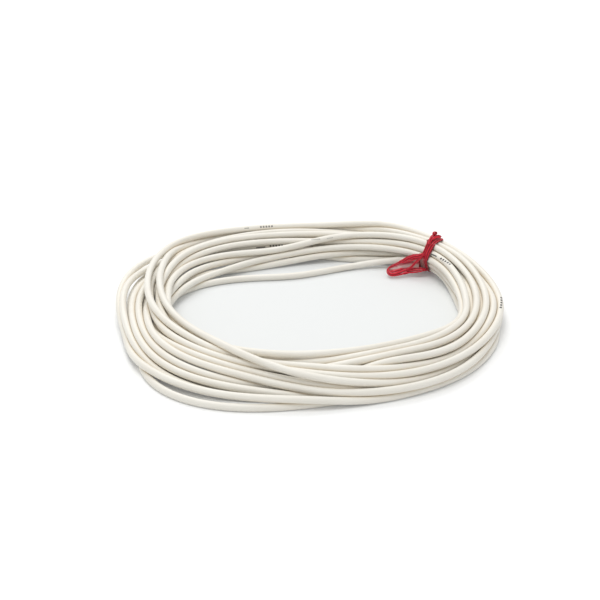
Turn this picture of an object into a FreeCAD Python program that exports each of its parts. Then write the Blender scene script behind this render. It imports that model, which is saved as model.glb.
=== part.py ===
import FreeCAD, Part
import math
import os

# A hank of insulated hook-up wire: one long wire wound in loose turns that lie flat in a ring,
# gathered and tied at one place with a thin plastic strip.
# Millimetres. +Z is up and z = 0 is the surface that the hank lies on. Azimuths are counted
# from +X towards +Y about the middle of the turns. The finished part is moved sideways, so
# that the origin is under the middle of its box.

Vector = FreeCAD.Vector

# Wire
WIRE_DIAMETER = 1.8
BORE_DIAMETER = 1.0
STRAND_DIAMETER = 0.30
STRAND_PITCH = 0.32
RING_STRANDS = 6

# Hank. The underside is sunk a little below the surface and cut off there, so it comes out flat.
HANK_RADIUS = 43.5
BUNDLE_WIDTH = 13.0
BUNDLE_HEIGHT = 9.0
UNDERSIDE_SINK = 0.4
SIDE_SHARES = (0.22, 0.5, 0.78)

# Tie, and the waist that it pulls into the bundle
TIE_AZIMUTH = 45.0
WAIST_DIAMETER = 9.4
WAIST_OFFSET = 4.8
BAND_THICKNESS = 0.9
BAND_WIDTH = 3.0
FLOOR_GAP = 0.1

# Rolled fold on top of the band. Its axis lies just above the band, which cuts its foot.
FOLD_DIAMETER = 2.2
FOLD_EYE = 0.9
FOLD_LENGTH = 2.6
FOLD_AXIS_RISE = 0.66

# Pointed free end of the strip. Its seat is the angle from the top of the band towards its
# outer side, and it runs down and back along the bundle: parts outwards, along and up.
END_LENGTH = 4.2
END_SHOULDER = 2.5
END_WIDTH = 2.6
END_THICKNESS = 0.7
END_SINK = 0.14
END_SEAT = 37.0
END_HEADING = (0.55, -0.75, -0.45)

# Flat loop of the bunched strip, which hangs from the tie over the bundle's inner side. Its
# root lies on the band's inner side and its tip further round: a step in azimuth, a step
# outwards and a step up. The last vector is the way that its flat side faces.
STRIP_BUNCH = 1.7
LOOP_DEPTH = 1.9
LOOP_ROOT_RADIUS = 1.6
LOOP_TIP_RADIUS = 2.2
LOOP_ROOT_AZIMUTH = 0.5
LOOP_ROOT_SINK = 0.7
LOOP_ROOT_DROP = 1.3
LOOP_REACH = (12.0, -3.7, -2.1)
LOOP_FACING = (-0.55, 0.25, 0.8)

# How far the bundle's edges and top lie from their plain places, at evenly spaced azimuths
# from 0 degrees: inner edge and outer edge at the base, inner edge and outer edge at the top,
# and height. The waist stands in for the station at the tie.
EDGE_OFFSETS = [
    (1.3, -0.7, 3.0, -2.0, -2.5),
    (3.0, 0.7, 4.7, -0.8, -2.2),
    (5.8, 3.0, 7.0, 1.5, -1.0),
    None,
    (6.0, 4.0, 7.3, 3.0, 0.3),
    (1.0, 2.5, 4.0, 1.0, 0.0),
    (-5.0, 1.0, 1.3, 0.0, 0.0),
    (-6.0, 1.0, 0.0, 0.0, 0.0),
    (-5.0, 2.0, 0.0, 1.0, 0.0),
    (-2.0, 3.0, 0.5, 2.0, 0.0),
    (0.0, 3.3, 0.5, 2.0, -0.5),
    (0.0, 3.0, 0.5, 1.5, -0.5),
    (-0.5, 1.0, 0.0, -0.5, -0.3),
    (-0.5, 0.5, 0.0, -1.0, 0.0),
    (-0.5, 1.5, -0.5, -1.0, 0.3),
    (0.0, 4.5, -0.5, -0.5, 0.5),
    (0.0, 6.0, 0.0, 0.0, 0.5),
    (0.0, 3.0, 0.0, -1.0, 0.0),
    (0.5, -0.5, 0.5, -2.0, -0.3),
    (0.0, 0.5, 0.0, -1.5, 0.0),
    (0.0, 2.3, 0.0, -0.5, 0.0),
    (0.0, 1.5, 0.5, -1.5, -0.5),
    (0.0, -1.0, 0.5, -3.0, -1.2),
    (0.0, -1.5, 1.5, -2.5, -2.0),
]
STATION_STEP = 360.0 / len(EDGE_OFFSETS)

# The two tails of the wire leave the bundle beside the tie and lie behind it on the surface.
# Each point is an azimuth from the tie in degrees, a distance from the waist's middle radius
# and a height.
TAIL_HEIGHT = WIRE_DIAMETER / 2
START_TAIL = [(7.2, 3.4, 4.2), (14.5, 6.3, 2.5), (22.5, 5.9, TAIL_HEIGHT), (31.8, 4.1, TAIL_HEIGHT),
              (40.5, 2.8, TAIL_HEIGHT)]
FINISH_TAIL = [(-6.4, 3.4, 3.5), (-13.0, 5.1, 1.9), (-20.0, 4.5, TAIL_HEIGHT), (-26.5, 3.3, TAIL_HEIGHT)]
ARC_SHARE = 0.45


def polar(azimuth, radius, height):
    """A point from its azimuth in degrees, its radius and its height."""
    angle = math.radians(azimuth)
    return Vector(radius * math.cos(angle), radius * math.sin(angle), height)


def waist_radius():
    """Distance from the middle of the turns to the middle of the waist."""
    return HANK_RADIUS + WAIST_OFFSET


def band_radius():
    """Radius of the outside of the strip's turns round the waist."""
    return WAIST_DIAMETER / 2 + BAND_THICKNESS


def waist_height():
    """Height of the waist's middle: the band passes under it, just clear of the surface."""
    return band_radius() + FLOOR_GAP


def from_tie(place):
    """A point given as azimuth from the tie, distance from the waist's radius, and height."""
    azimuth, outward, height = place
    return polar(TIE_AZIMUTH + azimuth, waist_radius() + outward, height)


def section_corners(index):
    """Corners of the bundle's section at one station, as (radius, height) pairs:
    inner base, outer base, outer top, inner top."""
    offsets = EDGE_OFFSETS[index]
    if offsets is None:
        inner = waist_radius() - WAIST_DIAMETER / 2
        outer = waist_radius() + WAIST_DIAMETER / 2
        low = waist_height() - WAIST_DIAMETER / 2
        high = waist_height() + WAIST_DIAMETER / 2
        return (inner, low), (outer, low), (outer, high), (inner, high)
    inner = HANK_RADIUS - BUNDLE_WIDTH / 2
    outer = HANK_RADIUS + BUNDLE_WIDTH / 2
    high = BUNDLE_HEIGHT + offsets[4]
    return ((inner + offsets[0], -UNDERSIDE_SINK), (outer + offsets[1], -UNDERSIDE_SINK),
            (outer + offsets[3], high), (inner + offsets[2], high))


def section_points(index):
    """Three points on each side of the section, near its ends and at its middle. A smooth
    curve on them touches the middle of each side and rounds the corners."""
    corners = section_corners(index)
    azimuth = TIE_AZIMUTH + (index - EDGE_OFFSETS.index(None)) * STATION_STEP
    points = []
    for side in range(4):
        start = corners[side]
        end = corners[(side + 1) % 4]
        for share in SIDE_SHARES:
            radius = start[0] + share * (end[0] - start[0])
            height = start[1] + share * (end[1] - start[1])
            points.append(polar(azimuth, radius, height))
    return points


def make_hank():
    """One closed solid of the outer shape of all the turns: a smooth closed surface through
    the stations, with a flat underside to lie on."""
    rows = [section_points(index) for index in range(len(EDGE_OFFSETS))]
    poles = []
    for index, row in enumerate(rows):
        before = rows[index - 1]
        after = rows[(index + 1) % len(rows)]
        # a pole stands off its point by a sixth of the local bend, so the surface passes
        # through the point
        poles.append([p - (a - p * 2 + b) * (1 / 6) for a, p, b in zip(before, row, after)])
    count_around = len(poles)
    count_across = len(poles[0])
    surface = Part.BSplineSurface()
    surface.buildFromPolesMultsKnots(
        poles, [1] * (count_around + 1), [1] * (count_across + 1),
        list(range(count_around + 1)), list(range(count_across + 1)), True, True, 3, 3)
    solid = Part.Solid(Part.Shell([surface.toShape()]))
    if solid.Volume < 0:
        solid.reverse()
    reach = HANK_RADIUS + BUNDLE_WIDTH
    below = Part.makeBox(4 * reach, 4 * reach, BUNDLE_HEIGHT, Vector(-2 * reach, -2 * reach, -BUNDLE_HEIGHT))
    return single_solid(solid.cut(below), "hank")


def single_solid(shape, name):
    """The largest solid of a cut shape, after saying so if there are others."""
    solids = sorted(shape.Solids, key=lambda solid: solid.Volume)
    if len(solids) != 1:
        print(name, "has", len(solids), "solids")
    return solids[-1]


def rounded_path(points):
    """Straight runs joined by tangent arcs, with each arc as large as its two runs allow."""
    edges = []
    radii = []
    start = points[0]
    for before, corner, after in zip(points, points[1:], points[2:]):
        back = (before - corner).normalize()
        on = (after - corner).normalize()
        setback = ARC_SHARE * min((before - corner).Length, (after - corner).Length)
        half_turn = (math.pi - back.getAngle(on)) / 2
        radius = setback / math.tan(half_turn)
        radii.append(radius)
        first = corner + back * setback
        last = corner + on * setback
        bisector = (back + on).normalize()
        middle = corner + bisector * (math.hypot(radius, setback) - radius)
        edges.append(Part.LineSegment(start, first).toShape())
        edges.append(Part.Arc(first, middle, last).toShape())
        start = last
    edges.append(Part.LineSegment(start, points[-1]).toShape())
    return Part.Wire(edges), radii


def sweep_circle(path, points, diameter, offset=(0.0, 0.0)):
    """A round bar along the path. The offset moves its centre across the path."""
    along = (points[1] - points[0]).normalize()
    side = along.cross(Vector(0, 0, 1)).normalize()
    up = side.cross(along)
    centre = points[0] + side * offset[0] + up * offset[1]
    circle = Part.Wire(Part.Circle(centre, along, diameter / 2).toShape())
    return path.makePipeShell([circle], True, False)


def make_tail(places, hank, name):
    """Insulation and conductor strands of one tail, from the bundle's side to its cut end."""
    points = [from_tie(place) for place in places]
    path, radii = rounded_path(points)
    runs = [(on - start).Length for start, on in zip(points, points[1:])]
    print(name, "length %.1f" % path.Length, "runs", ["%.1f" % run for run in runs],
          "radii", ["%.1f" % radius for radius in radii])
    sleeve = sweep_circle(path, points, WIRE_DIAMETER)
    bar_volume = math.pi / 4 * WIRE_DIAMETER ** 2 * path.Length
    print(name, "volume %.2f" % sleeve.Volume, "section times length %.2f" % bar_volume)
    bore = sweep_circle(path, points, BORE_DIAMETER)
    insulation = single_solid(sleeve.cut(bore).cut(hank), name + " insulation")
    offsets = [(0.0, 0.0)]
    for strand in range(RING_STRANDS):
        angle = 2 * math.pi * strand / RING_STRANDS
        offsets.append((STRAND_PITCH * math.cos(angle), STRAND_PITCH * math.sin(angle)))
    strands = []
    for offset in offsets:
        strand = sweep_circle(path, points, STRAND_DIAMETER, offset)
        strands.append(single_solid(strand.cut(hank), name + " strand"))
    return insulation, Part.makeCompound(strands)


def tie_axes():
    """The waist's middle and the directions outwards, along the bundle and up."""
    centre = from_tie((0.0, 0.0, waist_height()))
    outward = polar(TIE_AZIMUTH, 1.0, 0.0)
    along = polar(TIE_AZIMUTH + 90.0, 1.0, 0.0)
    return centre, outward, along, Vector(0, 0, 1)


def tie_direction(parts):
    """A direction from its parts outwards, along the bundle and up."""
    centre, outward, along, up = tie_axes()
    return (outward * parts[0] + along * parts[1] + up * parts[2]).normalize()


def make_band(hank):
    """The strip's turns round the waist: a ring that fits the bundle."""
    centre, outward, along, up = tie_axes()
    drum = Part.makeCylinder(band_radius(), BAND_WIDTH, centre - along * (BAND_WIDTH / 2), along)
    return single_solid(drum.cut(hank), "tie band")


def make_fold(band, hank):
    """The strip's rolled fold on top of the band, with an open eye through it."""
    centre, outward, along, up = tie_axes()
    start = centre + up * (band_radius() + FOLD_AXIS_RISE) - outward * (FOLD_LENGTH / 2)
    roll = Part.makeCylinder(FOLD_DIAMETER / 2, FOLD_LENGTH, start, outward)
    eye = Part.makeCylinder(FOLD_EYE / 2, FOLD_LENGTH, start, outward)
    return single_solid(roll.cut(eye).cut(band).cut(hank), "tie fold")


def make_end(band, fold, hank):
    """The strip's free end: a short pointed tongue that lies on the bundle behind the fold."""
    centre, outward, along, up = tie_axes()
    heading = tie_direction(END_HEADING)
    across = heading.cross(outward).normalize()
    seat = math.radians(END_SEAT)
    root = centre + (up * math.cos(seat) + outward * math.sin(seat)) * (band_radius() - END_SINK)
    half_width = across * (END_WIDTH / 2)
    shoulder = root + heading * END_SHOULDER
    corners = [root - half_width, root + half_width, shoulder + half_width,
               root + heading * END_LENGTH, shoulder - half_width]
    face = Part.Face(Part.makePolygon(corners + corners[:1]))
    normal = heading.cross(across).normalize()
    if normal.z < 0:
        normal = normal * -1
    tongue = face.extrude(normal * END_THICKNESS)
    return single_solid(tongue.cut(band).cut(fold).cut(hank), "tie end")


def egg_outline(root, tip, side, root_radius, tip_radius):
    """A closed outline round two circles of unlike size: two tangent lines and two arcs."""
    along = (tip - root).normalize()
    distance = (tip - root).Length
    lean = math.asin((tip_radius - root_radius) / distance)
    normals = []
    for sign in (1, -1):
        normals.append(side * (sign * math.cos(lean)) - along * math.sin(lean))
    a, b = root + normals[0] * root_radius, tip + normals[0] * tip_radius
    c, d = tip + normals[1] * tip_radius, root + normals[1] * root_radius
    return Part.Wire([
        Part.LineSegment(a, b).toShape(),
        Part.Arc(b, tip + along * tip_radius, c).toShape(),
        Part.LineSegment(c, d).toShape(),
        Part.Arc(d, root - along * root_radius, a).toShape()])


def make_loop(band, hank):
    """The bunched strip's long flat loop, open in the middle."""
    offset = LOOP_ROOT_SINK - band_radius()
    height = waist_height() - LOOP_ROOT_DROP
    root = from_tie((LOOP_ROOT_AZIMUTH, offset, height))
    tip = from_tie((LOOP_ROOT_AZIMUTH + LOOP_REACH[0], offset + LOOP_REACH[1], height + LOOP_REACH[2]))
    along = (tip - root).normalize()
    side = tie_direction(LOOP_FACING).cross(along).normalize()
    facing = along.cross(side).normalize()
    slabs = []
    for grow in (STRIP_BUNCH / 2, -STRIP_BUNCH / 2):
        outline = egg_outline(root, tip, side, LOOP_ROOT_RADIUS + grow, LOOP_TIP_RADIUS + grow)
        outline.translate(facing * (-LOOP_DEPTH / 2))
        slabs.append(Part.Face(outline).extrude(facing * LOOP_DEPTH))
    return single_solid(slabs[0].cut(slabs[1]).cut(band).cut(hank), "tie loop")


def make_parts():
    """Every node of the part, by name."""
    hank = make_hank()
    band = make_band(hank)
    fold = make_fold(band, hank)
    parts = {
        "wire_hank": hank,
        "tie_band": band,
        "tie_fold": fold,
        "tie_end": make_end(band, fold, hank),
        "tie_loop": make_loop(band, hank),
    }
    for name, places in (("start_tail", START_TAIL), ("finish_tail", FINISH_TAIL)):
        insulation, strands = make_tail(places, hank, name)
        parts[name + "_insulation"] = insulation
        parts[name + "_conductor"] = strands
    return parts


def main():
    parts = make_parts()
    box = Part.makeCompound(list(parts.values())).optimalBoundingBox(False)
    shift = Vector(-box.Center.x, -box.Center.y, 0)
    os.makedirs("parts", exist_ok=True)
    for name, shape in parts.items():
        shape.translate(shift)
        shape.exportStep("parts/" + name + ".step")
        print(name, "valid", shape.isValid(), "solids", len(shape.Solids), "volume %.2f" % shape.Volume,
              "z %.2f to %.2f" % (shape.BoundBox.ZMin, shape.BoundBox.ZMax))
    print("box %.2f x %.2f x %.2f" % (box.XLength, box.YLength, box.ZLength), "shift", shift)


main()
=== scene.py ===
# A loose hank of insulated hook-up wire, lying flat and tied at one place with a thin red film strip.
import math

import bmesh
import bpy
import numpy as np
from mathutils import Matrix, Vector


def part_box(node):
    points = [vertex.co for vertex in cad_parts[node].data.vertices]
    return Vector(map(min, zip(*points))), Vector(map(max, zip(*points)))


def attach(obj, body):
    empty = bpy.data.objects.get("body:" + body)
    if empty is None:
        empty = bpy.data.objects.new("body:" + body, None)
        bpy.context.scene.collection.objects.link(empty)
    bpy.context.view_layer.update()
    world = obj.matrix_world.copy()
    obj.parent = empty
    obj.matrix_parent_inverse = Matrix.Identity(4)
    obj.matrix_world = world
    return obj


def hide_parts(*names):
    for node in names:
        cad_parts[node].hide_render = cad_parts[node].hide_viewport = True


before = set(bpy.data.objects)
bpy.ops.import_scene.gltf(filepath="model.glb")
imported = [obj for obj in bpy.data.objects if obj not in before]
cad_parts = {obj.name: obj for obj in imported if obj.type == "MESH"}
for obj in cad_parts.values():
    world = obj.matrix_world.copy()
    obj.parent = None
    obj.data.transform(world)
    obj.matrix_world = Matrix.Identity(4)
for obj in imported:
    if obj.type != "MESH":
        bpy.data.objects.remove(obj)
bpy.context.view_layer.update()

MM = 0.001
UPWARDS = (0.0, 0.0, 1.0)

# The wire, in millimetres
WIRE = 1.8
TURNS = 18
COLUMNS = 72
LINE_STEPS = 3
WIRE_SIDES = 16
BORE = 1.0
BORE_DEPTH = 1.5
STRANDS = 7
STRAND = 0.30
STRAND_PITCH = 0.32
STRAND_SIDES = 8

# The tied waist, in millimetres. The middle of the turns is where the waist's radius and the
# band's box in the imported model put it.
WAIST_AZIMUTH = 45.0
WAIST_RADIUS = 48.3
WAIST_HEIGHT = 5.7
WAIST_INSIDE = 4.7
WAIST_ROWS = (3, 4, 5, 4, 3)
band_low, band_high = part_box("tie_band")
band_middle = (band_low + band_high) / 2 / MM
MIDDLE = np.array([
    band_middle.x - WAIST_RADIUS * math.cos(math.radians(WAIST_AZIMUTH)),
    band_middle.y - WAIST_RADIUS * math.sin(math.radians(WAIST_AZIMUTH)),
    0.0,
])

# The two tails: azimuth from the tie in degrees, distance from the waist's radius and height.
TAIL_HEIGHT = WIRE / 2
START_TAIL = [(7.2, 3.4, 4.2), (14.5, 6.3, 2.5), (22.5, 5.9, TAIL_HEIGHT), (31.8, 4.1, TAIL_HEIGHT),
              (40.5, 2.8, TAIL_HEIGHT)]
FINISH_TAIL = [(-6.4, 3.4, 3.5), (-13.0, 5.1, 1.9), (-20.0, 4.5, TAIL_HEIGHT), (-26.5, 3.3, TAIL_HEIGHT)]

# Beside the tie, in place of a turn: the radius and height that the tails come from and go to.
START_SIDE = (52.5, 4.0)
FINISH_SIDE = (52.5, 3.4)

# The turns have one letter each. The wire runs through them in this order.
TURN_ORDER = "kfadumnoqcbeswixtl"

# Where each turn lies in the bundle, as drawn up: at an azimuth, each turn's radius and height.
SECTIONS = {
    15: "b 40.9 5.9, c 42.3 4.4, d 44.2 5.8, f 46.4 5.8, e 45.3 4.3, n 47.8 4.6, "
        "o 49.5 5.4, a 39.8 4.3, x 40.6 2.5, s 42.8 2.6, t 45.2 2.5, k 47.3 2.7, "
        "q 49.6 3.4, i 39.7 0.9, u 41.9 0.9, l 44.1 0.9, m 46.3 0.9, w 48.7 1.2",
    0: "a 38.8 4.0, b 39.6 5.7, c 40.9 4.3, d 42.1 5.8, e 43.3 4.4, f 44.7 5.7, "
       "n 46.6 5.3, o 48.6 4.7, x 39.8 2.3, s 42.0 2.6, t 44.4 2.6, k 46.3 3.2, "
       "q 48.4 2.8, u 41.6 0.9, l 43.8 0.9, i 39.5 0.9",
    345: "a 38.1 4.7, b 39.5 6.0, c 40.6 4.5, d 41.7 6.0, e 42.9 4.5, f 43.9 6.0, "
         "n 45.4 4.8, o 47.2 4.5, q 46.9 2.7, k 45.0 2.9, t 43.2 2.7, s 41.3 2.7, "
         "x 39.3 2.9, i 39.3 0.9, u 41.3 0.9, l 43.2 0.9, w 45.1 0.9, m 47.3 0.9",
    315: "a 36.4 7.3, b 39.0 7.2, c 38.0 5.5, d 40.9 6.5, e 41.9 4.8, f 43.8 5.7, "
         "n 44.1 3.9, o 46.4 4.2, k 46.4 2.5, q 48.8 2.7, m 48.2 0.9, w 46.1 0.9, "
         "x 38.6 3.6, i 38.0 0.9, u 40.4 0.9, l 43.2 0.9, s 41.0 2.9, t 43.2 2.4",
    285: "a 36.4 8.0, b 38.2 7.6, d 39.9 7.1, f 41.6 6.6, n 42.8 6.2, o 44.6 5.2, "
         "k 45.7 4.0, x 45.2 2.7, q 47.6 2.4, m 48.0 0.9, w 46.2 0.9, c 38.0 5.9, "
         "e 40.0 5.3, s 42.0 4.4, t 43.5 2.6, i 38.2 0.9, u 40.4 0.9, l 43.4 0.9",
    270: "a 37.2 8.0, b 37.9 6.2, n 40.3 6.4, o 42.0 5.8, k 45.3 6.2, x 44.6 4.4, "
         "q 46.4 3.1, s 43.2 2.6, m 48.9 2.8, w 47.8 0.9, t 45.9 1.0, l 44.0 0.9, "
         "u 42.1 0.9, f 40.1 1.3, i 38.2 0.9, c 39.0 3.0, e 41.1 2.8, d 39.9 4.6",
    255: "a 38.0 8.1, k 42.5 7.8, n 39.3 6.0, o 40.9 6.2, x 42.4 4.7, q 44.7 4.0, "
         "s 43.6 2.7, t 45.9 2.2, m 50.4 2.6, w 51.8 0.9, l 47.3 0.9, u 44.4 0.9, "
         "b 37.5 6.2, d 39.4 4.2, e 41.2 3.1, c 38.2 2.9, f 40.0 1.5, i 38.1 0.9",
    240: "a 37.2 7.0, k 39.4 8.2, n 38.9 6.4, o 40.7 6.0, x 42.5 5.7, q 44.4 5.1, "
         "s 46.4 4.2, t 48.2 3.1, m 51.2 2.4, l 49.3 1.5, w 54.5 0.9, u 46.8 0.9",
    225: "k 37.4 8.2, n 39.6 7.8, o 41.9 7.1, x 43.6 6.4, q 45.3 5.7, s 47.0 4.7, "
         "t 48.6 3.7, l 49.8 2.0, m 51.6 2.4, u 48.0 0.9, w 53.0 0.9, a 37.4 6.2, "
         "b 39.2 5.8, d 40.9 5.3, c 37.8 4.4, e 42.7 4.6, f 38.0 2.6, i 37.4 0.9",
    195: "k 37.2 8.1, n 40.5 7.9, o 40.7 6.2, q 42.4 5.9, x 42.1 4.1, s 44.1 5.5, "
         "t 45.6 4.7, l 47.2 3.8, m 47.6 1.9, u 45.9 1.2, w 44.0 0.9, a 36.8 6.3, "
         "b 38.6 6.5, d 38.5 4.7, c 36.7 4.4, e 40.3 4.4, f 37.0 2.6, i 37.0 0.9",
    180: "m 49.6 3.4, l 48.6 4.9",
    165: "k 41.2 8.4, n 44.2 8.2, o 43.6 6.2, q 42.4 4.5, s 45.6 4.6, t 47.4 4.3, "
         "x 44.2 3.1, l 50.4 5.8, m 51.9 4.7, u 48.6 2.6, w 49.0 0.9, b 40.2 6.7, "
         "a 38.6 6.0, c 40.4 4.9, e 38.2 4.3, d 40.2 3.1, f 38.3 2.6, i 39.4 1.0",
    150: "m 53.5 6.2, k 44.7 7.8, f 37.3 2.4, i 38.6 0.9, l 51.2 4.4, t 48.8 3.7, "
         "u 51.9 2.6, w 51.4 0.9",
    135: "n 51.8 8.1, k 51.3 6.4, o 49.4 6.1, b 46.1 7.5, c 44.7 6.2, a 43.2 5.1, "
         "e 41.2 3.5, d 40.0 2.2, f 38.0 1.7, i 35.5 0.9, q 47.6 6.0, x 46.6 4.5, "
         "s 49.0 4.3, t 47.7 2.9, m 52.6 4.8, l 50.8 4.2, u 51.2 2.4, w 50.4 0.9",
    120: "i 31.8 0.9",
    105: "n 50.2 8.2, k 51.0 6.5, o 48.5 7.1, b 45.8 7.2, c 43.4 6.2, a 39.6 4.5, "
         "e 41.3 3.4, f 39.6 2.7, d 38.3 1.2, i 29.4 0.9, m 52.0 4.9, l 50.0 4.5, "
         "q 46.9 5.4, x 44.6 4.4, s 47.6 3.7, t 45.6 2.7, u 49.4 2.7, w 47.5 1.4",
    90: "i 30.5 0.9",
    75: "n 50.9 8.0, k 51.9 6.6, b 47.9 6.4, a 45.9 7.3, c 45.3 5.3, f 43.3 4.6, "
        "d 43.7 2.9, e 45.5 3.5, w 42.8 1.0, i 35.6 0.9, o 49.9 6.5, m 51.6 5.0, "
        "q 48.0 4.7, l 50.6 3.4, x 47.3 3.0, s 48.9 2.6, t 46.5 1.6, u 50.6 1.4",
    62: "i 43.9 0.9",
}
BEFORE_TIE = 75
AFTER_TIE = 15

# How the turns settle from their drawn places. Each step pulls a turn back towards its place, more
# within a few degrees of the tie and less in the late steps, stiffens it, and pushes neighbours apart.
SETTLE_STEPS = 260
FIRM_STEPS = 180
LATE_PULL = 0.3
PULL = 0.04
PULL_AT_TIE = 0.30
PULL_REACH = 4.0
STIFFNESS = 0.09
PUSH = 0.42
TURN_GAP = WIRE * 1.02
TIE_REACH = 3
FAR_OFF = 1000.0
FAR_STEP = 50.0
TINY = 1e-9

# How far the painted shade of a groove between turns reaches over the wire's surface, in millimetres, and
# how much of the groove's painted shade colour shows at its bottom.
GROOVE_REACH = 0.25
GROOVE_SHADE = 0.65

# The film tie, in millimetres. A wrap goes once round the bundle: at an angle from outwards
# towards up, how far it lies along the bundle, its width and how far it stands off the wire.
FILM = 0.07
WRAPS = {
    "tie_wrap_right": [
        (80, -1.2, 1.8, 0.10), (100, -1.8, 2.1, 0.10), (120, -2.0, 2.2, 0.10), (150, -2.1, 2.0, 0.08),
        (165, -2.1, 1.9, 0.07), (180, -2.0, 1.8, 0.06), (195, -1.8, 1.8, 0.06), (210, -1.4, 1.8, 0.05),
        (228, -0.6, 1.8, 0.05), (270, -0.4, 1.9, 0.02), (330, -0.3, 1.9, 0.02), (385, -0.4, 1.7, 0.05),
        (415, -0.5, 1.6, 0.06)],
    "tie_wrap_left": [
        (80, -0.2, 1.8, 0.04), (100, -0.3, 2.0, 0.03), (120, -0.7, 1.9, 0.03), (150, -0.8, 1.7, 0.04),
        (168, -0.1, 1.2, 0.08), (183, 0.2, 1.0, 0.10), (200, 1.0, 0.9, 0.10), (218, 1.7, 1.0, 0.08),
        (238, 2.2, 1.2, 0.06), (275, 1.4, 2.0, 0.12), (330, 0.5, 2.0, 0.12), (385, 0.0, 1.8, 0.02)],
}
SKIN = [(166, -0.9, 1.0, 0.04), (185, -0.6, 2.0, 0.03), (205, 0.0, 2.4, 0.03), (235, 0.9, 2.8, 0.02)]
WRAP_PHASE = 1.7
SKIN_PHASE = 0.9
WRAP_STEPS = 220
SKIN_STEPS = 70
WRAP_COLUMNS = 19
PLEATS = 2.6
PLEAT_DRIFT = 1.2
PLEAT_HEIGHT = 0.20
FILM_GAP = 0.03
EDGE_WANDER = 0.08

# The bundle's outside at the tie: how far along the bundle the wire counts, how much less it
# counts further along, and how sharply the outside follows the nearest turns.
OUTSIDE_REACH = 9.0
OUTSIDE_FADE = 0.12
OUTSIDE_SHARP = 9.0

# A gathered strip follows places given as azimuth, radius and height, with its half width and
# its half thickness there.
BOW = [(44.2, 43.8, 6.8, 0.45, 0.26), (45.9, 43.3, 6.1, 0.66, 0.32), (48.3, 42.8, 5.5, 0.74, 0.34),
       (50.1, 41.9, 4.8, 0.66, 0.34), (51.2, 40.9, 4.15, 0.55, 0.32), (52.9, 39.7, 3.35, 0.46, 0.30),
       (54.5, 38.6, 2.7, 0.40, 0.30), (55.1, 38.0, 2.1, 0.44, 0.32), (54.4, 37.4, 1.6, 0.72, 0.36),
       (53.1, 37.3, 1.4, 0.95, 0.40), (51.9, 37.7, 1.5, 1.04, 0.42), (50.3, 39.0, 1.7, 1.02, 0.42),
       (48.5, 40.6, 1.9, 0.94, 0.42), (46.7, 41.8, 2.0, 0.86, 0.40), (45.2, 42.7, 2.2, 0.78, 0.38),
       (44.1, 43.4, 2.3, 0.55, 0.30), (43.2, 44.2, 2.2, 0.30, 0.20)]
CROSSING = [(48.3, 40.1, 2.3, 0.30, 0.14), (46.9, 41.1, 3.3, 0.34, 0.16), (46.1, 41.8, 4.3, 0.36, 0.17),
            (44.8, 42.5, 5.6, 0.34, 0.16), (43.9, 43.4, 6.8, 0.28, 0.14)]
THREAD = [(55.0, 38.4, 2.5, 0.16, 0.10), (52.0, 40.1, 3.6, 0.20, 0.11), (48.6, 41.8, 4.4, 0.20, 0.11),
          (46.1, 42.7, 5.4, 0.18, 0.10)]
STEM = [(43.3, 44.7, 9.75, 0.34, 0.14), (43.9, 46.0, 10.5, 0.50, 0.18), (44.3, 47.1, 10.95, 0.52, 0.20),
        (44.2, 47.8, 11.35, 0.44, 0.20)]
TIP = [(44.1, 46.4, 10.5, 0.50, 0.14), (43.7, 47.4, 10.8, 0.62, 0.16), (43.3, 48.3, 10.95, 0.60, 0.14),
       (43.0, 49.1, 10.95, 0.44, 0.11), (42.9, 49.8, 10.85, 0.05, 0.05)]
BOW_FACING = (0.15, -0.75, 0.62)
GATHERED_STEPS = 120
GATHERED_SIDES = 60

# How the pleats of a gathered strip twist: how quickly along it and how far. Then how deep its
# lumps and its ripples are, as shares of its radius, and how closely the ripples follow.
TWIST_PACE = 0.35
TWIST = 2.5
LUMP = 0.08
RIPPLE = 0.07
RIPPLE_PACE = 0.8

# Each gathered strip: its places, the phase of its waves, its pleats and how deep they cut.
GATHERED = {
    "tie_bow": (BOW, 0.4, 6, 0.38),
    "tie_crossing": (CROSSING, 2.1, 4, 0.3),
    "tie_thread": (THREAD, 3.0, 3, 0.1),
    "tie_stem": (STEM, 1.1, 4, 0.3),
    "tie_tip": (TIP, 4.2, 3, 0.25),
}

# The rolled eye on top: its middle in polar form, its radius, half thickness and half width,
# how far it is from a true circle, and its pleats and their depth as a share of the section.
EYE = (44.2, 48.1, 11.75)
EYE_RADIUS = 0.46
EYE_THICK = 0.17
EYE_WIDE = 0.52
EYE_EGG = 0.18
EYE_OVAL = 0.08
EYE_PLEATS = 4
EYE_PLEAT_DEPTH = 0.25
EYE_AXIS = (0.62, -0.70, 0.35)
EYE_STEPS = 60
EYE_SIDES = 30

# The single layer inside the bow, between the bow's places of its upper and its lower limb.
UPPER_LIMB = slice(1, 8)
LOWER_LIMB = slice(14, 6, -1)
LAYER_STEPS = 40
LAYER_COLUMNS = 13
LAYER_RIPPLE = 0.10
LAYER_WALL = 0.04

# Printed marks, generic dashes only: the turn, the azimuth where the mark starts, its length in
# millimetres, the length of one tick or 0 for a plain dash, where round the wire it lies as a
# share from inwards towards up, how far that shifts for each millimetre, and how dark it is.
MARKS = [
    ("n", 112.2, 1.4, 0.0, 0.09, 0.0, 0.50), ("n", 106.9, 3.9, 0.82, 0.10, 0.0, 0.75),
    ("x", 110.6, 2.8, 0.0, 0.01, 0.0, 0.85), ("x", 105.4, 4.2, 0.86, 0.05, 0.0, 0.9),
    ("a", 89.7, 2.6, 0.0, 0.19, -0.03, 0.45), ("a", 84.0, 1.9, 0.0, 0.06, 0.0, 0.30),
    ("b", 41.4, 2.8, 0.0, 0.03, 0.015, 0.95), ("b", 35.6, 5.6, 1.13, 0.11, 0.022, 0.97),
    ("o", 3.2, 7.4, 1.52, 0.33, -0.010, 0.97),
]

# Half the height of a tick and of a dash, as a share of the way round the wire, and the share of
# a tick's length that is inked.
HALF_TICK = 0.050
HALF_DASH = 0.030
TICK_INKED = 0.6

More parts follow.
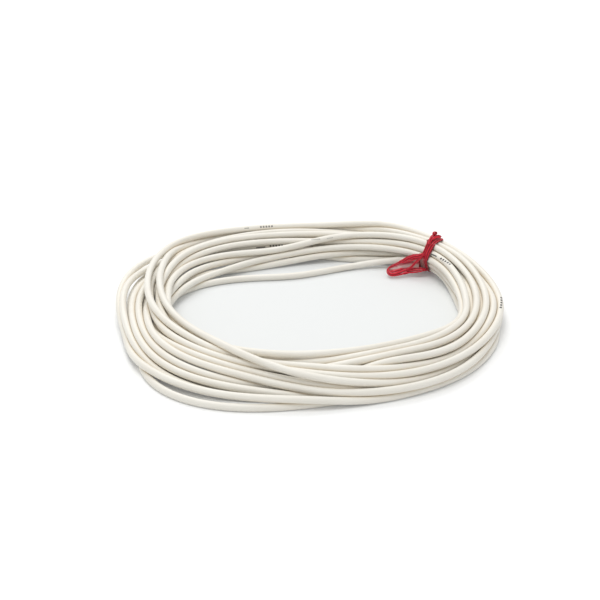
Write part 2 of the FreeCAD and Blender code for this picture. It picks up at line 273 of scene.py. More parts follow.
# Colours
WIRE_WARM = (0.83, 0.795, 0.715, 1.0)
WIRE_PALE = (0.865, 0.84, 0.77, 1.0)
# Painted shade: the warm darker colour painted into the grooves where turns come close.
WIRE_GROOVE_PAINTED_SHADE = (0.74, 0.60, 0.40, 1.0)
INK = (0.035, 0.035, 0.04, 1.0)
# Painted shade: the dark red of the film's fold valleys.
FILM_FOLD_PAINTED_SHADE = (0.19, 0.002, 0.008, 1.0)
FILM_BRIGHT = (0.64, 0.012, 0.034, 1.0)
LAYER_PALE = (0.62, 0.33, 0.31, 1.0)
LAYER_STREAK = (0.36, 0.012, 0.03, 1.0)
TINNED_METAL = (0.72, 0.70, 0.67, 1.0)
# Painted shade: the darker floor inside the ring.
FLOOR_INSIDE_PAINTED_SHADE = (0.695, 0.71, 0.705, 1.0)
FLOOR_OUTSIDE = (0.88, 0.885, 0.885, 1.0)
BLACK = (0.0, 0.0, 0.0, 1.0)
WHITE = (1.0, 1.0, 1.0, 1.0)

# The camera: its place from the middle of the turns in millimetres, how far it looks down in
# degrees, and its focal length in pixels of a picture that is so many pixels wide.
CAMERA_PLACE = (-2.99, -316.55, 140.32)
CAMERA_DIP = 23
FOCAL_PIXELS = 1340.0
PICTURE_PIXELS = 600.0
SENSOR = 36.0

# The floor's half side, and the distances from the middle of the turns between which it goes from its
# painted shade inside the ring to the plain tone outside, in metres.
FLOOR_REACH = 3.0
SHADE_FROM = 0.036
SHADE_TO = 0.054
FLOOR_GLOW = 0.10

# The lamps' names, places in metres, power in watts and size in metres, and the pale surround.
LAMPS = (
    ("lamp_front", (-0.10, -0.18, 0.97), 3.4, 0.5),
    ("lamp_back", (-0.12, 0.60, 0.70), 2.9, 0.6),
)
SURROUND = 0.62


def unit(vectors):
    """Vectors scaled to a length of one, along the last axis."""
    return vectors / np.linalg.norm(vectors, axis=-1, keepdims=True)


def crosswise(heading, fixed=UPWARDS):
    """Two unit vectors square to a unit heading and to each other. The first is square to a fixed
    direction as well."""
    side = unit(np.cross(heading, fixed))
    return side, np.cross(side, heading)


def round_angles(count):
    """Evenly spaced angles once round a circle."""
    return np.linspace(0, 2 * np.pi, count, endpoint=False)


def length_along(points):
    """How far along a line each of its points is: the sum of the straight steps before it."""
    return np.concatenate([[0], np.cumsum(np.linalg.norm(np.diff(points, axis=0), axis=1))])


def clockwise_turns(flat):
    """How many turns a line has gone clockwise about the middle, at each of its points."""
    return -np.unwrap(np.arctan2(flat[:, 1], flat[:, 0])) / (2 * np.pi)


def polar(azimuth, radius, height):
    """Points in the part's frame, in millimetres, from azimuths in degrees, radii and heights."""
    angle = np.radians(azimuth)
    return np.stack(np.broadcast_arrays(MIDDLE[0] + radius * np.cos(angle),
                                        MIDDLE[1] + radius * np.sin(angle), height), axis=-1)


def smooth_through(times, values, at):
    """A smooth curve through values at uneven times, read at other times. Between two of them
    it is the cubic whose slopes are those of the parabola through each value and its neighbours."""
    slopes = np.gradient(values, times, axis=0)
    k = np.clip(np.searchsorted(times, at, side="right") - 1, 0, len(times) - 2)
    span = (times[k + 1] - times[k])[:, None]
    s = (at[:, None] - times[k][:, None]) / span
    h00 = 2 * s ** 3 - 3 * s ** 2 + 1
    h10 = s ** 3 - 2 * s ** 2 + s
    h01 = -2 * s ** 3 + 3 * s ** 2
    h11 = s ** 3 - s ** 2
    return h00 * values[k] + h10 * span * slopes[k] + h01 * values[k + 1] + h11 * span * slopes[k + 1]


def wander(along, phase):
    """A slow uneven wave along a strip, about from -1 to 1: three sines of unlike lengths."""
    return (0.5 * np.sin(1.7 * along + phase) + 0.3 * np.sin(3.9 * along + 2.3 * phase)
            + 0.2 * np.sin(7.1 * along))


def read_sections():
    """The sections' text as {azimuth: {letter: (radius, height)}}."""
    table = {}
    for azimuth, text in SECTIONS.items():
        places = [place.split() for place in text.split(",")]
        table[azimuth] = {letter: (float(radius), float(height)) for letter, radius, height in places}
    return table


def waist_slots():
    """The section of the tied waist: rows of places a wire apart, each as its height and radii."""
    slots = []
    for row, count in enumerate(WAIST_ROWS):
        height = WAIST_HEIGHT + (row - len(WAIST_ROWS) // 2) * WIRE * math.sqrt(3) / 2
        radii = [WAIST_RADIUS + (k - (count - 1) / 2) * WIRE for k in range(count)]
        slots.append((height, radii))
    return slots


def waist_places(table):
    """Radius and height of the wire at each of its passes through the tie. Passes are put in
    rows by their mean height beside the tie, and along each row by their mean radius."""
    wanted = np.zeros((TURNS + 1, 2))
    for k in range(TURNS + 1):
        before = table[BEFORE_TIE][TURN_ORDER[k - 1]] if k > 0 else START_SIDE
        after = table[AFTER_TIE][TURN_ORDER[k]] if k < TURNS else FINISH_SIDE
        wanted[k] = np.mean([before, after], axis=0)
    places = np.zeros((TURNS + 1, 2))
    order = np.argsort(wanted[:, 1])
    first = 0
    for height, radii in waist_slots():
        row = order[first:first + len(radii)]
        row = row[np.argsort(wanted[row, 0])]
        for index, radius in zip(row, radii):
            places[index] = (radius, height)
        first += len(radii)
    return places


def drawn_turns():
    """Times in turns from the tie, and radius and height at each, in millimetres: a smooth curve
    through the drawn sections and the waist's places."""
    table = read_sections()
    waist = waist_places(table)
    keys = [(float(TURNS), *waist[TURNS])]
    for k, letter in enumerate(TURN_ORDER):
        keys.append((float(k), *waist[k]))
        for azimuth, places in table.items():
            if letter in places:
                share = ((WAIST_AZIMUTH - azimuth) % 360) / 360
                keys.append((k + share, *places[letter]))
    keys = np.array(sorted(keys))
    time = np.arange(TURNS * COLUMNS + 1) / COLUMNS
    return time, smooth_through(keys[:, 0], keys[:, 1:], time)


def push_apart(place, grid, real):
    """How far each place is moved off the others in its column that are nearer than a wire's
    width: a share of what is missing, away from each of them. Empty cells lie far off."""
    turns = np.arange(len(grid))
    cells = np.where(real[:, :, None], place[grid], FAR_OFF + FAR_STEP * turns[:, None, None])
    apart = cells[:, None] - cells[None, :]
    distance = np.sqrt((apart ** 2).sum(-1)) + TINY
    push = np.where(distance < TURN_GAP, (TURN_GAP - distance) / distance, 0.0)
    push[turns, turns] = 0.0
    return ((push[..., None] * apart).sum(1) * PUSH)[real]


def wound_turns():
    """Times and places of the wound wire. The drawn turns are pushed apart where two are nearer
    than a wire's width, kept above the surface and inside the tie, and smoothed along the wire."""
    time, target = drawn_turns()
    place = target.copy()
    index = np.arange(len(time))
    column = index % COLUMNS
    grid = np.full((TURNS + 1, COLUMNS), -1)
    grid[index // COLUMNS, column] = index
    real = grid >= 0
    near_tie = np.minimum(column, COLUMNS - column) * 360 / COLUMNS
    at_tie = near_tie < TIE_REACH
    pull = PULL + PULL_AT_TIE * np.exp(-(near_tie / PULL_REACH) ** 2)
    for step in range(SETTLE_STEPS):
        fade = 1.0 if step < FIRM_STEPS else LATE_PULL
        place += (pull * fade)[:, None] * (target - place)
        bend = place[:-2] - 2 * place[1:-1] + place[2:]
        place[2:-2] -= STIFFNESS * (bend[:-2] - 2 * bend[1:-1] + bend[2:])
        place[grid[real]] += push_apart(place, grid, real)
        place[:, 1] = np.maximum(place[:, 1], WIRE / 2)
        off = place[at_tie] - (WAIST_RADIUS, WAIST_HEIGHT)
        reach = np.sqrt((off ** 2).sum(1, keepdims=True)) + TINY
        place[at_tie] -= off * np.maximum(0, 1 - (WAIST_INSIDE - WIRE / 2) / reach)
    return time, place


def wire_route():
    """Control points of the whole wire, in millimetres: start tail, turns, finish tail."""
    time, place = wound_turns()
    turns = polar(WAIST_AZIMUTH - 360 * time, place[:, 0], place[:, 1])
    start = [polar(WAIST_AZIMUTH + a, WAIST_RADIUS + d, h) for a, d, h in reversed(START_TAIL)]
    finish = [polar(WAIST_AZIMUTH + a, WAIST_RADIUS + d, h) for a, d, h in FINISH_TAIL]
    return np.vstack([start, turns, finish])


def nurbs_points(route, steps):
    """Points read from one NURBS spline of order 3 on the route, in metres."""
    curve = bpy.data.curves.new("wire_line", "CURVE")
    curve.dimensions = "3D"
    spline = curve.splines.new("NURBS")
    spline.points.add(len(route) - 1)
    flat = np.ones((len(route), 4))
    flat[:, :3] = route * MM
    spline.points.foreach_set("co", flat.ravel())
    spline.order_u = 3
    spline.use_endpoint_u = True
    spline.resolution_u = steps
    holder = bpy.data.objects.new("wire_line", curve)
    mesh = bpy.data.meshes.new_from_object(holder)
    points = np.zeros(len(mesh.vertices) * 3)
    mesh.vertices.foreach_get("co", points)
    bpy.data.objects.remove(holder)
    bpy.data.curves.remove(curve)
    bpy.data.meshes.remove(mesh)
    return points.reshape(-1, 3)


def add_object(name, data):
    """A new object in the scene, at the origin."""
    thing = bpy.data.objects.new(name, data)
    bpy.context.scene.collection.objects.link(thing)
    return thing


def add_mesh(name, verts, faces):
    """A new object of a closed surface, given in millimetres, with its faces turned outwards."""
    mesh = bpy.data.meshes.new(name)
    mesh.from_pydata((verts * MM).tolist(), [], faces)
    work = bmesh.new()
    work.from_mesh(mesh)
    bmesh.ops.recalc_face_normals(work, faces=work.faces)
    work.to_mesh(mesh)
    work.free()
    mesh.polygons.foreach_set("use_smooth", [True] * len(mesh.polygons))
    return add_object(name, mesh)


def mark_vertices(piece, name, values):
    """Keeps one number for each vertex as an attribute of the piece."""
    layer = piece.data.attributes.new(name, "FLOAT", "POINT")
    layer.data.foreach_set("value", np.ravel(values))


def grid_quads(rows, columns, ring=False):
    """The quads of a grid of points whose columns, and whose rows too where it is a ring, close up."""
    i = np.arange(rows if ring else rows - 1)[:, None]
    j = np.arange(columns)[None, :]
    after = (i + 1) % rows
    right = (j + 1) % columns
    return np.stack([i * columns + j, i * columns + right, after * columns + right, after * columns + j],
                    axis=-1).reshape(-1, 4)


def closed_shell(name, sections, fold, ring=False):
    """A closed surface through rings of points, as an array of rings, places round each and
    coordinates, with how far each point is folded out, from 0 to 1. Where the rings don't close
    up, each end is a fan about its middle."""
    rows, columns = sections.shape[:2]
    faces = grid_quads(rows, columns, ring).tolist()
    verts = sections.reshape(-1, 3)
    folds = np.ravel(fold)
    if not ring:
        verts = np.vstack([verts, sections[0].mean(0), sections[-1].mean(0)])
        folds = np.concatenate([folds, [0.5, 0.5]])
        last = (rows - 1) * columns
        for j in range(columns):
            after = (j + 1) % columns
            faces.append([rows * columns, after, j])
            faces.append([rows * columns + 1, last + j, last + after])
    piece = add_mesh(name, verts, faces)
    # How far each point is folded out: the film paints shade into its fold valleys by it, and the clear
    # film streaks its folds.
    mark_vertices(piece, "fold", folds)
    return piece


def tube_rings(points, radius, sides):
    """The points of a tube's rings, as an array of rings, places round each and coordinates: a
    ring is the line's point plus radius times (cosine of side plus sine of up)."""
    side, up = crosswise(unit(np.gradient(points, axis=0)))
    angle = round_angles(sides)[:, None, None]
    ring = np.cos(angle) * side + np.sin(angle) * up
    return (points + radius * ring).transpose(1, 0, 2)


def end_faces(edge, mouth, sides, first):
    """The faces at one end of the bored tube, from its last ring in to the bore's mouth, down the
    bore and across its floor. At the tube's first end they run the other way round."""
    faces = []
    for near, far in ((edge, mouth), (mouth, mouth + sides)):
        faces += [[near + k, far + k, far + (k + 1) % sides, near + (k + 1) % sides] for k in range(sides)]
    faces.append([mouth + sides + k for k in range(sides)])
    return [face[::-1] for face in faces] if first else faces


def tube_map(points, sides):
    """The UV of each corner of the tube's quads: the length along it and the share round it."""
    run = length_along(points)
    along = np.stack([run[1:], run[1:], run[:-1], run[:-1]], axis=-1)
    share = np.arange(sides) / sides
    around = np.stack([share, share + 1 / sides, share + 1 / sides, share], axis=-1)
    return np.stack(np.broadcast_arrays(along[:, None], around[None]), axis=-1).reshape(-1, 2)


def tube(name, points, radius, sides):
    """A closed tube about a line. Each end is cut square, with a short bore for the conductor."""
    rings = tube_rings(points, radius, sides)
    bores = []
    for ring, inward in ((rings[0], points[1] - points[0]), (rings[-1], points[-2] - points[-1])):
        middle = ring.mean(0)
        mouth = middle + (ring - middle) * (BORE / WIRE)
        bores += [mouth, mouth + unit(inward) * BORE_DEPTH * MM]
    verts = np.vstack([rings.reshape(-1, 3)] + bores)
    count = len(points)
    quads = grid_quads(count, sides)[:, ::-1]
    ends = end_faces(0, count * sides, sides, True)
    ends += end_faces((count - 1) * sides, (count + 2) * sides, sides, False)
    mesh = bpy.data.meshes.new(name)
    mesh.from_pydata(verts.tolist(), [], quads.tolist() + ends)
    layer = mesh.uv_layers.new(name="along")
    end_map = np.zeros((sum(len(face) for face in ends), 2))
    layer.data.foreach_set("uv", np.vstack([tube_map(points, sides), end_map]).ravel())
    mesh.polygons.foreach_set("use_smooth", [True] * len(quads) + [False] * len(ends))
    mesh.update()
    return add_object(name, mesh)


def nearness(points, radius, sides):
    """How close the wire's surface comes to its other turns, from 0 to 1: the sum, over the other turns
    that pass the same azimuth, of e to the power of minus the gap over the groove's reach. The bores at the
    ends have none. The insulation paints shade into the grooves by it."""
    flat = points / MM - MIDDLE
    turn = clockwise_turns(flat)
    out = np.hypot(flat[:, 0], flat[:, 1])
    rings = tube_rings(points, radius, sides) / MM - MIDDLE
    ring_out = np.hypot(rings[..., 0], rings[..., 1])
    near = np.zeros(rings.shape[:2])
    for step in range(-TURNS, TURNS + 1):
        if step == 0:
            continue
        other_out = np.interp(turn + step, turn, out, left=FAR_OFF, right=FAR_OFF)
        other_up = np.interp(turn + step, turn, flat[:, 2], left=FAR_OFF, right=FAR_OFF)
        gap = np.hypot(ring_out - other_out[:, None], rings[..., 2] - other_up[:, None]) - radius / MM
        near += np.exp(-np.maximum(gap, 0) / GROOVE_REACH)
    return np.concatenate([np.clip(near, 0, 1).ravel(), np.zeros(4 * sides)])


def strand_ends(name, tip, inward):
    """The seven conductor strands at one end of the wire, cut square: six in a circle and one in
    its middle, each a closed tube."""
    heading = unit(inward)
    side, up = crosswise(heading)
    angle = round_angles(STRAND_SIDES)[:, None]
    ring = STRAND / 2 * (np.cos(angle) * side + np.sin(angle) * up)
    depths = np.array([0.0, BORE_DEPTH])
    verts, faces = [], []
    for k in range(STRANDS):
        turn = 2 * np.pi * k / (STRANDS - 1)
        pitch = STRAND_PITCH if k < STRANDS - 1 else 0.0
        middle = pitch * (np.cos(turn) * side + np.sin(turn) * up)
        rows = tip / MM + middle + depths[:, None, None] * heading + ring
        first = 2 * STRAND_SIDES * k
        verts.append(rows.reshape(-1, 3))
        faces += (first + grid_quads(2, STRAND_SIDES)).tolist()
        faces += [list(range(first, first + STRAND_SIDES)),
                  list(range(first + STRAND_SIDES, first + 2 * STRAND_SIDES))]
    piece = add_mesh(name, np.vstack(verts), faces)
    piece.data.polygons.foreach_set("use_smooth", [len(f.vertices) == 4 for f in piece.data.polygons])
    return piece


def bundle_outside(line, angle, shift):
    """Distance outwards and up, from the waist's middle, of the bundle's outside where its normal
    has an angle from outwards towards up, and at a shift along it. That is the soft maximum of
    the wire's reach along the normal, in which places further along the bundle count less."""
    flat = line / MM - MIDDLE
    turned = np.arctan2(flat[:, 1], flat[:, 0]) - math.radians(WAIST_AZIMUTH)
    along = (np.mod(turned + np.pi, 2 * np.pi) - np.pi) * WAIST_RADIUS
    near = np.abs(along) < OUTSIDE_REACH
    out = np.hypot(flat[near, 0], flat[near, 1]) - WAIST_RADIUS
    up = flat[near, 2] - WAIST_HEIGHT
    normal = np.stack([np.cos(angle), np.sin(angle)])
    score = (normal[0][..., None] * out + normal[1][..., None] * up
             - OUTSIDE_FADE * (shift[..., None] - along[near]) ** 2)
    top = score.max(-1, keepdims=True)
    weight = np.exp(OUTSIDE_SHARP * (score - top))
    total = weight.sum(-1)
    reach = top[..., 0] + np.log(total) / OUTSIDE_SHARP + WIRE / 2
    middle = np.stack([(weight * out).sum(-1), (weight * up).sum(-1)]) / total
    return middle + (reach - (middle * normal).sum(0)) * normal


def on_bundle(line, angle, shift, lift):
    """Points in millimetres on the bundle near the tie, lifted off it along its normal."""
    out, up = bundle_outside(line, angle, shift) + lift * np.stack([np.cos(angle), np.sin(angle)])
    azimuth = WAIST_AZIMUTH + np.degrees(shift / WAIST_RADIUS)
    return polar(azimuth, WAIST_RADIUS + out, WAIST_HEIGHT + up)


def film_section(columns):
    """Places round a thin strip's section: across it from -1 to 1 on its outer side and back on
    its inner side, with a side of 1 or 0."""
    across = np.linspace(-1, 1, columns)
    return np.concatenate([across, across[::-1]]), np.repeat([1.0, 0.0], columns)


def film_wrap(name, line, keys, phase, ring=True):
    """A pleated strip round the bundle. Its height over the wire is a wave across the strip,
    whose folds drift along it, and its edges run unevenly."""
    keys = np.array(keys, dtype=float)
    if ring:
        degrees = np.linspace(keys[0, 0], keys[0, 0] + 360, WRAP_STEPS, endpoint=False)
        once_round = (360, 0, 0, 0)
        keys = np.vstack([keys[-2:] - once_round, keys, keys[:2] + once_round])
    else:
        degrees = np.linspace(keys[0, 0], keys[-1, 0], SKIN_STEPS)
    path = smooth_through(keys[:, 0], keys[:, 1:], degrees)
    across, side = film_section(WRAP_COLUMNS)
    angle = np.radians(degrees)[:, None] + 0 * across
    beat = wander(angle, phase)
    width = path[:, 1:2] * (1 + EDGE_WANDER * wander(1.5 * angle, phase + 2))
    shift = path[:, 0:1] + width / 2 * across + EDGE_WANDER * beat
    fold = (0.5 + 0.5 * np.cos(np.pi * (PLEATS * across + PLEAT_DRIFT * beat))) ** 1.5
    lift = path[:, 2:3] + FILM_GAP + PLEAT_HEIGHT * fold + FILM * side
    return closed_shell(name, on_bundle(line, angle, shift, lift), fold, ring)


def gathered(name, keys, phase, pleats, depth):
    """A strip gathered lengthwise, along places in polar form: its section is an ellipse whose
    radius is cut in by pleats, and the pleats twist slowly along it."""
    keys = np.array(keys, dtype=float)
    places = polar(keys[:, 0], keys[:, 1], keys[:, 2])
    run = length_along(places)
    at = np.linspace(0, run[-1], GATHERED_STEPS)
    centre = smooth_through(run, places, at)
    size = smooth_through(run, keys[:, 3:], at)
    wide, thick = crosswise(unit(np.gradient(centre, axis=0)), BOW_FACING)
    angle = round_angles(GATHERED_SIDES)[None, :]
    drift = wander(at[:, None] * TWIST_PACE, phase)
    fold = 1 - (0.5 + 0.5 * np.cos(pleats * angle + TWIST * drift)) ** 2
    cut = 1 - depth * (1 - fold) - LUMP * np.cos(3 * angle - 2 * drift)
    cut = cut + RIPPLE * wander(at[:, None] * RIPPLE_PACE + 2 * np.cos(angle), phase + 1)
    round_wide = (size[:, 0:1] * np.cos(angle) * cut)[..., None] * wide[:, None]
    round_thick = (size[:, 1:2] * np.sin(angle) * cut)[..., None] * thick[:, None]
    return closed_shell(name, centre[:, None] + round_wide + round_thick, fold)


def rolled_eye(name):
    """A strip rolled into a small ring with an open middle: about an axis, a slightly egg-shaped
    circle whose section is a long ellipse with four shallow pleats."""
    axis = unit(np.array(EYE_AXIS))
    level, rise = crosswise(axis)
    turn = round_angles(EYE_STEPS)
    outwards = np.cos(turn)[:, None] * level + np.sin(turn)[:, None] * rise
    radius = EYE_RADIUS * (1 + EYE_EGG * np.sin(turn) + EYE_OVAL * np.cos(2 * turn))
    centre = polar(*EYE) + radius[:, None] * outwards
    angle = round_angles(EYE_SIDES)
    pleat = (0.5 + 0.5 * np.cos(EYE_PLEATS * angle + 1.0)) ** 0.5
    fold = np.broadcast_to(pleat, (EYE_STEPS, EYE_SIDES))
    size = (1 - EYE_PLEAT_DEPTH) + EYE_PLEAT_DEPTH * fold
    sections = (centre[:, None] + (size * EYE_THICK * np.cos(angle))[..., None] * outwards[:, None]
                + (size * EYE_WIDE * np.sin(angle))[..., None] * axis)
    return closed_shell(name, sections, fold, ring=True)


def bow_skin(name):
    """One layer of film inside the bow: straight lines from its upper limb to its lower one, with
    a ripple across them, and a thin wall."""
    keys = np.array(BOW)
    share = np.linspace(0, 1, LAYER_STEPS)
    limbs = []
    for limb in (keys[UPPER_LIMB], keys[LOWER_LIMB]):
        places = polar(limb[:, 0], limb[:, 1], limb[:, 2])
        limbs.append(smooth_through(np.linspace(0, 1, len(limb)), places, share))
    across, side = film_section(LAYER_COLUMNS)
    mix = (across[None, :, None] + 1) / 2
    ripple = LAYER_RIPPLE * np.cos(9 * share[:, None] + 5 * across) * (1 - across ** 2)
    lift = (ripple + LAYER_WALL * side)[..., None] * unit(np.array(BOW_FACING))
    sections = (1 - mix) * limbs[0][:, None] + mix * limbs[1][:, None] + lift
    fold = 0.5 + 0.5 * np.cos(7 * across + 6 * share[:, None])
    return closed_shell(name, sections, fold)


def mark_starts(line):
    """How far along the wire each printed mark starts, in metres. The wire's clockwise turning
    from the tie, counted in turns, is the turn's number plus the share of a turn."""
    turns = clockwise_turns(line / MM - MIDDLE) + WAIST_AZIMUTH / 360
    wanted = [TURN_ORDER.index(mark[0]) + (WAIST_AZIMUTH - mark[1]) % 360 / 360 for mark in MARKS]
    return np.interp(wanted, turns, length_along(line)).tolist()


class Socket:
    """A shader value. Arithmetic on it adds Math nodes."""

    def __init__(self, shader, link):
        self.shader = shader
        self.link = link

    def maths(self, operation, *values):
        return self.shader.node("ShaderNodeMath", {"operation": operation}, *values)

    def __add__(self, other):
        return self.maths("ADD", self, other)

    def __sub__(self, other):
        return self.maths("SUBTRACT", self, other)

    def __rsub__(self, other):
        return self.maths("SUBTRACT", other, self)

    def __mul__(self, other):
        return self.maths("MULTIPLY", self, other)

    def __gt__(self, other):
        return self.maths("GREATER_THAN", self, other)

    def __lt__(self, other):
        return self.maths("LESS_THAN", self, other)

    def __mod__(self, other):
        return self.maths("FLOORED_MODULO", self, other)

    def __abs__(self):
        return self.maths("ABSOLUTE", self)

    __radd__ = __add__
    __rmul__ = __mul__


class Shader:
    """One material's node tree. node() adds any node: its settings first, then its sockets'
    values or links, by position or by name, and gives back its first or named output."""

    def __init__(self, name):
        self.material = bpy.data.materials.new(name)
        self.material.use_nodes = True
        self.tree = self.material.node_tree
        self.surface = self.tree.nodes["Principled BSDF"]

    def node(self, kind, settings=None, *values, out=0, **named):
        node = self.tree.nodes.new(kind)
        for key, value in (settings or {}).items():
            if key == "stops":
                set_stops(node.color_ramp, value)
            else:
                setattr(node, key, value)
        for index, value in enumerate(values):
            self.feed(node.inputs[index], value)
        for key, value in named.items():
            self.feed(node.inputs[key.replace("_", " ")], value)
        return Socket(self, node.outputs[out])

    def feed(self, socket, value):
        """Links a shader value to a socket or sets a plain one. None leaves the socket alone."""
        if isinstance(value, Socket):
            self.tree.links.new(value.link, socket)
        elif value is not None:
            socket.default_value = value

    def set(self, **named):
        for key, value in named.items():
            self.feed(self.surface.inputs[key.replace("_", " ")], value)

    def noise(self, scale, detail=2.0):
        """Cloudy noise on the object's own coordinates."""
        place = self.node("ShaderNodeTexCoord", out="Object")
        return self.node("ShaderNodeTexNoise", None, Vector=place, Scale=scale, Detail=detail)

    def attribute(self, name):
        return self.node("ShaderNodeAttribute", {"attribute_name": name}, out="Fac")

    def ramp(self, low, high, value):
        """0 up to a low value, 1 from a high one, and even between."""
        return self.node("ShaderNodeValToRGB", {"stops": [(low, 0.0), (high, 1.0)]}, value)

    def bump(self, strength, distance, height):
        return self.node("ShaderNodeBump", None, Strength=strength, Distance=distance, Height=height)

    def mix(self, factor, first, second):
        """Colour between two colours, whose sockets come after five for other kinds of value."""
        return self.node("ShaderNodeMix", {"data_type": "RGBA"}, factor, *[None] * 5, first, second, out=2)


def set_stops(ramp, stops):
    """Puts two (place, grey) stops into a colour ramp."""
    for stop, (place, grey) in zip(ramp.elements, stops):
        stop.position = place
        stop.color = (grey, grey, grey, 1.0)


def printed(s, starts):
    """A mask of the printed marks: along the wire a mark is one dash or evenly spaced ticks, and
    round the wire it is a narrow band."""
    place = s.node("ShaderNodeUVMap", {"uv_map": "along"})
    along = s.node("ShaderNodeSeparateXYZ", None, place, out="X")
    around = s.node("ShaderNodeSeparateXYZ", None, place, out="Y")
    ink = 0.0
    for start, (_, _, length, tick, share, drift, dark) in zip(starts, MARKS):
        run = (along - start) * (1 / MM)
        off = ((around - (share - 0.5)) - run * drift) % 1.0 - 0.5
        band = abs(off) < (HALF_TICK if tick else HALF_DASH)
        mask = (run > 0.0) * (run < length) * band
        if tick:
            mask = mask * ((run % tick) < TICK_INKED * tick)
        ink = mask * dark + ink
    return ink


def insulation(starts):
    """Soft warm off-white plastic with a faint sheen, slight handling marks and waviness, painted warm
    shade in the grooves between turns, and short printed marks."""
    s = Shader("insulation")
    cloud = s.noise(90.0, detail=3.0)
    fine = s.noise(1400.0)
    skin = s.mix(s.ramp(0.3, 0.7, cloud), WIRE_WARM, WIRE_PALE)
    # Painted shade: the groove colour laid over the skin where other turns come close.
    shaded = s.mix(s.attribute("near") * GROOVE_SHADE, skin, WIRE_GROOVE_PAINTED_SHADE)
    s.set(Base_Color=s.mix(printed(s, starts), shaded, INK), Roughness=0.36 + 0.12 * cloud,
          Normal=s.bump(0.12, 0.0002, fine + cloud), Specular_IOR_Level=0.4)
    return s.material


def film():
    """Thin red plastic film, glossy, with creases, and painted shade that darkens the valleys of its folds.
    """
    s = Shader("film")
    folds = s.noise(900.0, detail=3.0)
    # Painted shade: darker red towards the valleys of the folds, mixed with a random tone.
    tone = s.ramp(0.25, 0.85, s.attribute("fold") * 0.75 + folds * 0.4)
    s.set(Base_Color=s.mix(tone, FILM_FOLD_PAINTED_SHADE, FILM_BRIGHT), Roughness=0.26, Specular_IOR_Level=0.4,
          Normal=s.bump(0.4, 0.0003, folds))
    return s.material


def clear_film():
    """The same film where it is one layer: pale and see-through, with red streaks in its folds."""
    s = Shader("clear_film")
    cloud = s.noise(700.0)
    streak = s.ramp(0.5, 0.95, s.attribute("fold") * 0.7 + cloud * 0.5)
    s.set(Base_Color=s.mix(streak, LAYER_PALE, LAYER_STREAK), Roughness=0.3, Alpha=0.46 + 0.50 * streak,
          Normal=s.bump(0.3, 0.0003, cloud))
    return s.material


def tinned():
    """Tinned copper strands: bright, slightly uneven metal."""
    s = Shader("tinned_strand")
    s.set(Base_Color=TINNED_METAL, Metallic=1.0, Roughness=0.25 + 0.2 * s.noise(3000.0))
    return s.material


def add_camera():
    """The camera stands in front of the ring and looks down at it."""
    data = bpy.data.cameras.new("camera")
    data.sensor_width = SENSOR
    data.lens = SENSOR * FOCAL_PIXELS / PICTURE_PIXELS
    data.clip_start = 0.01
    data.clip_end = 10.0
    camera = add_object("camera", data)
    place = Matrix.Translation((MIDDLE + CAMERA_PLACE) * MM)
    camera.matrix_world = place @ Matrix.Rotation(math.radians(90 - CAMERA_DIP), 4, "X")
    bpy.context.scene.camera = camera


def add_floor():
    """A pale floor that looks white to the camera and keeps the object's shadow, with painted shade that
    darkens it inside the ring.
    """
    mesh = bpy.data.meshes.new("floor")
    corners = [(x * FLOOR_REACH, y * FLOOR_REACH, 0) for x, y in ((-1, -1), (1, -1), (1, 1), (-1, 1))]
    mesh.from_pydata(corners, [], [(0, 1, 2, 3)])
    floor = add_object("floor", mesh)
    s = Shader("floor")
    seen = 0.0
    for ray in ("Is Camera Ray", "Is Glossy Ray", "Is Transmission Ray"):
        seen = s.node("ShaderNodeLightPath", out=ray) + seen
    place = s.node("ShaderNodeTexCoord", out="Object")
    away = s.node("ShaderNodeVectorMath", {"operation": "DISTANCE"}, place, tuple(MIDDLE * MM), out="Value")
    # Painted shade: darker inside the ring of turns, going over to the plain tone outside.
    outside = s.node("ShaderNodeMapRange", {"interpolation_type": "SMOOTHSTEP"}, away,
                     SHADE_FROM, SHADE_TO, 0.0, 1.0)
    s.set(Base_Color=s.mix(outside, FLOOR_INSIDE_PAINTED_SHADE, FLOOR_OUTSIDE), Roughness=0.7, Specular_IOR_Level=0.1,
          Emission_Color=s.mix(seen, BLACK, WHITE), Emission_Strength=FLOOR_GLOW)
    mesh.materials.append(s.material)


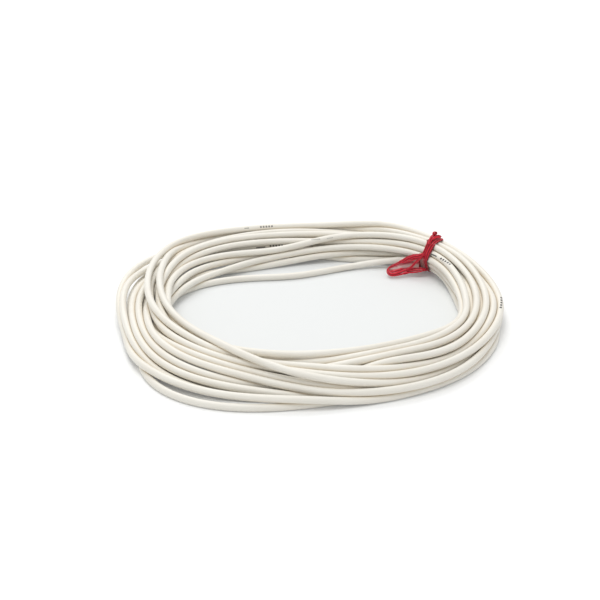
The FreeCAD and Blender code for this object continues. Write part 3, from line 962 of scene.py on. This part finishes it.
def add_light():
    """Soft light from above the front and from above the back, and a pale surround."""
    world = bpy.data.worlds.new("surround")
    world.use_nodes = True
    background = world.node_tree.nodes["Background"]
    background.inputs["Color"].default_value = WHITE
    background.inputs["Strength"].default_value = SURROUND
    bpy.context.scene.world = world
    for name, place, power, size in LAMPS:
        data = bpy.data.lights.new(name, "AREA")
        data.energy = power
        data.size = size
        facing = Vector(place).to_track_quat("Z", "Y").to_matrix().to_4x4()
        add_object(name, data).matrix_world = Matrix.Translation(place) @ facing


def finish_piece(piece, material):
    """Gives a new piece its material and its body."""
    piece.data.materials.append(material)
    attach(piece, "root")


def make_wire(line):
    """The whole wire: one tube along the line."""
    wire = tube("wire", line, WIRE / 2 * MM, WIRE_SIDES)
    # Nearness to the other turns, by which the insulation paints shade into the grooves.
    mark_vertices(wire, "near", nearness(line, WIRE / 2 * MM, WIRE_SIDES))
    finish_piece(wire, insulation(mark_starts(line)))
    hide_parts("wire_hank", "start_tail_insulation", "finish_tail_insulation")


def make_tie(line):
    """The film tie: two wraps round the bundle, the gathered strips, the eye and two layers that
    light comes through."""
    wraps = [film_wrap(name, line, keys, WRAP_PHASE * k) for k, (name, keys) in enumerate(WRAPS.items())]
    strips = {name: gathered(name, *shape) for name, shape in GATHERED.items()}
    eye = rolled_eye("tie_eye")
    film_material = film()
    for piece in wraps + [*strips.values(), eye]:
        finish_piece(piece, film_material)
    clear_material = clear_film()
    for piece in (film_wrap("tie_skin", line, SKIN, SKIN_PHASE, ring=False), bow_skin("tie_bow_skin")):
        finish_piece(piece, clear_material)
    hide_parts("tie_band")
    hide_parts("tie_loop")
    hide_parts("tie_fold")
    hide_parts("tie_end")


def make_strand_ends(line):
    """The conductor's strands in the wire's two bored ends."""
    material = tinned()
    for name, tip, after in (("start_tail", line[0], line[1]), ("finish_tail", line[-1], line[-2])):
        strands = strand_ends(name + "_strands", tip, after - tip)
        finish_piece(strands, material)
        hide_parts(name + "_conductor")


add_camera()
wire_line = nurbs_points(wire_route(), LINE_STEPS)
make_wire(wire_line)
make_tie(wire_line)
make_strand_ends(wire_line)
add_floor()
add_light()
bpy.context.scene.view_settings.view_transform = "Standard"
